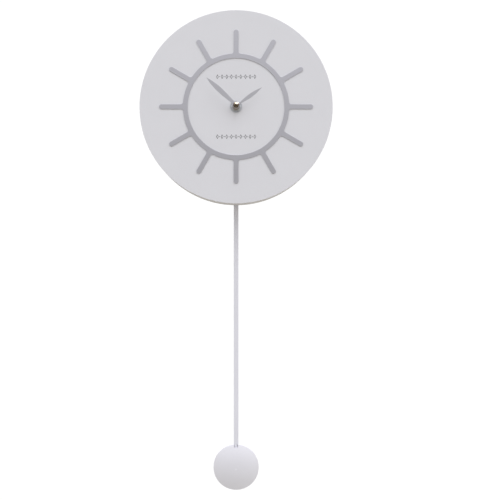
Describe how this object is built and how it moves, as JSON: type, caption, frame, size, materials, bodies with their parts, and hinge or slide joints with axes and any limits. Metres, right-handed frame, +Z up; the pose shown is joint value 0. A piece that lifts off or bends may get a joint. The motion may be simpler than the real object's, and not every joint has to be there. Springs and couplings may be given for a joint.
{
  "type": "pendulum wall clock",
  "caption": "Wall clock with a round face, a raised sun-shaped ring of rays, leaf hands, a deep band, a quartz movement and a swinging rod with a lens bob.",
  "frame": {"origin": "centre of the round entry of the keyhole, on the wall plane", "axes": "+Z up, +X to the right as seen from the front, +Y into the wall; the face looks along -Y"},
  "size_m": [0.24, 0.06, 0.6085],
  "materials": {
    "face_white": "satin white lacquer on fibreboard",
    "case_white": "satin white lacquer on fibreboard",
    "ray_grey": "satin grey anodised sheet with a cut edge",
    "hand_grey": "satin grey lacquer",
    "polished_cap": "polished dark bronze",
    "rod_silver": "satin pearl lacquer",
    "bob_silver": "satin pearl lacquer",
    "raw_board": "raw fibreboard",
    "zinc_steel": "bright zinc plate",
    "soft_rubber": "matte",
    "movement_plastic": "fine moulded texture",
    "knob_black": "moulded",
    "gear_plastic": "smooth acetal",
    "brass": "turned",
    "motor_iron": "stamped soft iron",
    "copper_wire": "enamelled copper wire",
    "board_green": "solder mask",
    "chip_black": "poured resin",
    "bright_can": "drawn can",
    "contact_nickel": "nickel plate",
    "battery_skin": "plain printed sleeve",
    "magnet_dark": "sintered",
    "magnet_bright": "nickel-plated sintered"
  },
  "bodies": {
    "case": {"dial_panel": "face_white", "sun_ring": "ray_grey", "case_ring": "case_white", "hanger_bar": "raw_board", "keyhole_plate": "zinc_steel", "keyhole_screws": "zinc_steel", "wall_spacers": "soft_rubber", "movement_case": "movement_plastic", "movement_back_cover": "movement_plastic", "back_cover_screws": "zinc_steel", "centre_bush": "brass", "bush_gasket": "soft_rubber", "bush_washer": "zinc_steel", "bush_nut": "zinc_steel", "train_plate": "gear_plastic", "train_plate_screws": "zinc_steel", "stator": "motor_iron", "stator_screws": "zinc_steel", "coil_core": "motor_iron", "stepper_bobbin": "gear_plastic", "stepper_coil": "copper_wire", "circuit_board": "board_green", "quartz_crystal": "bright_can", "chip_cover": "chip_black", "battery_contact_positive": "contact_nickel", "battery_contact_negative": "contact_nickel", "drive_bobbin": "gear_plastic", "drive_coil": "copper_wire", "pendulum_pivot_pin": "zinc_steel"},
    "minute_hand_set": {"minute_arbor": "brass", "minute_hand": "hand_grey", "hand_cap": "polished_cap"},
    "hour_hand_set": {"hour_wheel": "gear_plastic", "hour_hand": "hand_grey"},
    "minute_wheel": {"minute_wheel": "gear_plastic"},
    "setting_knob": {"setting_pinion": "gear_plastic", "setting_knob": "knob_black"},
    "centre_wheel": {"centre_wheel": "gear_plastic"},
    "third_wheel": {"third_wheel": "gear_plastic"},
    "fourth_wheel": {"fourth_wheel": "gear_plastic"},
    "fifth_wheel": {"fifth_wheel": "gear_plastic"},
    "rotor": {"rotor_pinion": "gear_plastic", "rotor_magnet": "magnet_dark"},
    "pendulum": {"pendulum_arm": "movement_plastic", "arm_magnet": "magnet_bright", "hook_pin": "zinc_steel", "pendulum_rod": "rod_silver", "bob": "bob_silver"},
    "battery": {"aa_battery": "battery_skin"}
  },
  "joints": [
    {"name": "minute_hand_turn", "type": "hinge", "parent": "case", "child": "minute_hand_set", "pos_m": [0, -0.056, -0.085], "axis": [0, 1, 0], "continuous": true},
    {"name": "hour_hand_turn", "type": "hinge", "parent": "case", "child": "hour_hand_set", "pos_m": [0, -0.053, -0.085], "axis": [0, 1, 0], "continuous": true},
    {"name": "minute_wheel_turn", "type": "hinge", "parent": "case", "child": "minute_wheel", "pos_m": [0.00849, -0.031, -0.07651], "axis": [0, 1, 0], "continuous": true},
    {"name": "setting_knob_turn", "type": "hinge", "parent": "case", "child": "setting_knob", "pos_m": [0.01976, -0.014, -0.07241], "axis": [0, 1, 0], "continuous": true},
    {"name": "fourth_wheel_turn", "type": "hinge", "parent": "case", "child": "fourth_wheel", "pos_m": [-0.00315, -0.022, -0.07175], "axis": [0, 1, 0], "continuous": true},
    {"name": "third_wheel_turn", "type": "hinge", "parent": "case", "child": "third_wheel", "pos_m": [0.00495, -0.024, -0.07643], "axis": [0, 1, 0], "continuous": true},
    {"name": "centre_wheel_turn", "type": "hinge", "parent": "case", "child": "centre_wheel", "pos_m": [0, -0.026, -0.085], "axis": [0, 1, 0], "continuous": true},
    {"name": "fifth_wheel_turn", "type": "hinge", "parent": "case", "child": "fifth_wheel", "pos_m": [-0.00991, -0.02, -0.07421], "axis": [0, 1, 0], "continuous": true},
    {"name": "rotor_turn", "type": "hinge", "parent": "case", "child": "rotor", "pos_m": [-0.01231, -0.024, -0.08079], "axis": [0, 1, 0], "continuous": true},
    {"name": "pendulum_swing", "type": "hinge", "parent": "case", "child": "pendulum", "pos_m": [0, -0.011, -0.135], "axis": [0, 1, 0], "range_deg": [-5, 5]},
    {"name": "battery_slide", "type": "slide", "parent": "case", "child": "battery", "axis": [0, 1, 0], "range_m": [0, 0.025]}
  ],
  "couplings": [
    {"joint": "hour_hand_turn", "follows": "minute_hand_turn", "ratio": 0.083333},
    {"joint": "minute_wheel_turn", "follows": "minute_hand_turn", "ratio": -0.33333},
    {"joint": "setting_knob_turn", "follows": "minute_hand_turn", "ratio": 1},
    {"joint": "third_wheel_turn", "follows": "fourth_wheel_turn", "ratio": -0.13333},
    {"joint": "centre_wheel_turn", "follows": "fourth_wheel_turn", "ratio": 0.016667},
    {"joint": "fifth_wheel_turn", "follows": "fourth_wheel_turn", "ratio": -5},
    {"joint": "rotor_turn", "follows": "fourth_wheel_turn", "ratio": 30}
  ]
}
